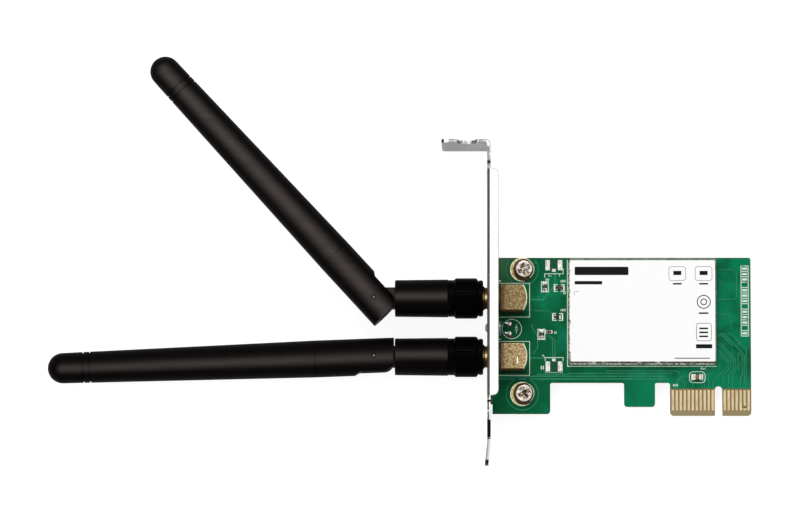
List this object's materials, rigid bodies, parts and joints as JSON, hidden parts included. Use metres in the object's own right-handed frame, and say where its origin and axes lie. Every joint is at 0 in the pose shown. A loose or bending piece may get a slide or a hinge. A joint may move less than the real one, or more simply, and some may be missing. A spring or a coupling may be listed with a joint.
{
  "type": "pcie wifi card",
  "caption": "Low-profile expansion card with a shielded radio, a steel slot bracket and folding screw-on antennas.",
  "frame": {"origin": "middle of the edge tongue's lower edge, halfway through the board", "axes": "+X along the card away from the bracket, +Y from the edge tongue towards the screw tab, +Z out of the component side"},
  "size_m": [0.1766, 0.1033, 0.0184],
  "materials": {
    "pcb": "green solder mask over glass fibre, glossy",
    "gold": "hard gold plating on copper",
    "bracket_steel": "nickel plated stamped steel sheet",
    "screw_steel": "bright nickel plated steel",
    "washer_steel": "blackened spring steel",
    "jack_gold": "sand-blasted gold plated brass",
    "ptfe": "white fluoropolymer",
    "led_clear": "tinted clear epoxy",
    "tin": "tin plated wire",
    "shield_tin": "tin plated steel sheet",
    "paper": "white coated paper label",
    "chip_black": "moulded epoxy package",
    "can_metal": "crystal can",
    "ferrite": "ferrite core",
    "ceramic_tan": "ceramic capacitor",
    "ceramic_black": "resistor",
    "antenna_black": "satin black moulded plastic",
    "nut_black": "black knurled coupling nut",
    "plug_brass": "gold plated brass",
    "pin_steel": "dark steel pin",
    "radiator_brass": "plain brass tube and rod"
  },
  "bodies": {
    "root": {"circuit_board": "pcb", "edge_contacts": "gold", "bracket": "bracket_steel", "board_screws": "screw_steel", "lock_washers": "washer_steel", "led_lens": "led_clear", "led_leads": "tin", "shield_frame": "shield_tin", "shield_lid": "shield_tin", "label": "paper", "wifi_chip": "chip_black", "crystal": "can_metal", "memory_chip": "chip_black", "radio_amplifiers": "chip_black", "power_inductor": "ferrite", "chip_capacitors": "ceramic_tan", "chip_resistors": "ceramic_black", "bypass_capacitors": "ceramic_tan", "upper_jack_body": "jack_gold", "upper_jack_insulator": "ptfe", "upper_jack_pin": "gold", "lower_jack_body": "jack_gold", "lower_jack_insulator": "ptfe", "lower_jack_pin": "gold"},
    "upper_plug": {"upper_plug_core": "plug_brass", "upper_plug_insulator": "ptfe", "upper_plug_socket": "gold"},
    "upper_nut": {"upper_coupling_nut": "nut_black"},
    "upper_base": {"upper_swivel_base": "antenna_black"},
    "upper_blade": {"upper_hinge_fork": "antenna_black", "upper_hinge_pins": "pin_steel", "upper_antenna_sleeve": "antenna_black", "upper_radiator": "radiator_brass"},
    "lower_plug": {"lower_plug_core": "plug_brass", "lower_plug_insulator": "ptfe", "lower_plug_socket": "gold"},
    "lower_nut": {"lower_coupling_nut": "nut_black"},
    "lower_base": {"lower_swivel_base": "antenna_black"},
    "lower_blade": {"lower_hinge_fork": "antenna_black", "lower_hinge_pins": "pin_steel", "lower_antenna_sleeve": "antenna_black", "lower_radiator": "radiator_brass"}
  },
  "joints": [
    {"name": "upper_unscrew", "type": "slide", "parent": "root", "child": "upper_plug", "axis": [-1, 0, 0], "range_m": [0, 0.00529]},
    {"name": "upper_nut_turn", "type": "hinge", "parent": "upper_plug", "child": "upper_nut", "pos_m": [-0.05604, 0.0292, 0.00409], "axis": [-1, 0, 0], "range_deg": [0, 2700]},
    {"name": "upper_swivel", "type": "hinge", "parent": "upper_plug", "child": "upper_base", "pos_m": [-0.08442, 0.0292, 0.00409], "axis": [-1, 0, 0], "range_deg": [-90, 90]},
    {"name": "upper_tilt", "type": "hinge", "parent": "upper_base", "child": "upper_blade", "pos_m": [-0.08442, 0.0292, 0.00409], "axis": [0, 0, -1], "range_deg": [-47.4, 42.6]},
    {"name": "lower_unscrew", "type": "slide", "parent": "root", "child": "lower_plug", "axis": [-1, 0, 0], "range_m": [0, 0.00529]},
    {"name": "lower_nut_turn", "type": "hinge", "parent": "lower_plug", "child": "lower_nut", "pos_m": [-0.05604, 0.0145, 0.00409], "axis": [-1, 0, 0], "range_deg": [0, 2700]},
    {"name": "lower_swivel", "type": "hinge", "parent": "lower_plug", "child": "lower_base", "pos_m": [-0.08442, 0.0145, 0.00409], "axis": [-1, 0, 0], "range_deg": [-90, 90]},
    {"name": "lower_tilt", "type": "hinge", "parent": "lower_base", "child": "lower_blade", "pos_m": [-0.08442, 0.0145, 0.00409], "axis": [0, 0, 1], "range_deg": [-2.1, 87.9]}
  ],
  "couplings": [
    {"joint": "upper_nut_turn", "follows": "upper_unscrew", "rad_per_m": 8905.3},
    {"joint": "lower_nut_turn", "follows": "lower_unscrew", "rad_per_m": 8905.3}
  ]
}
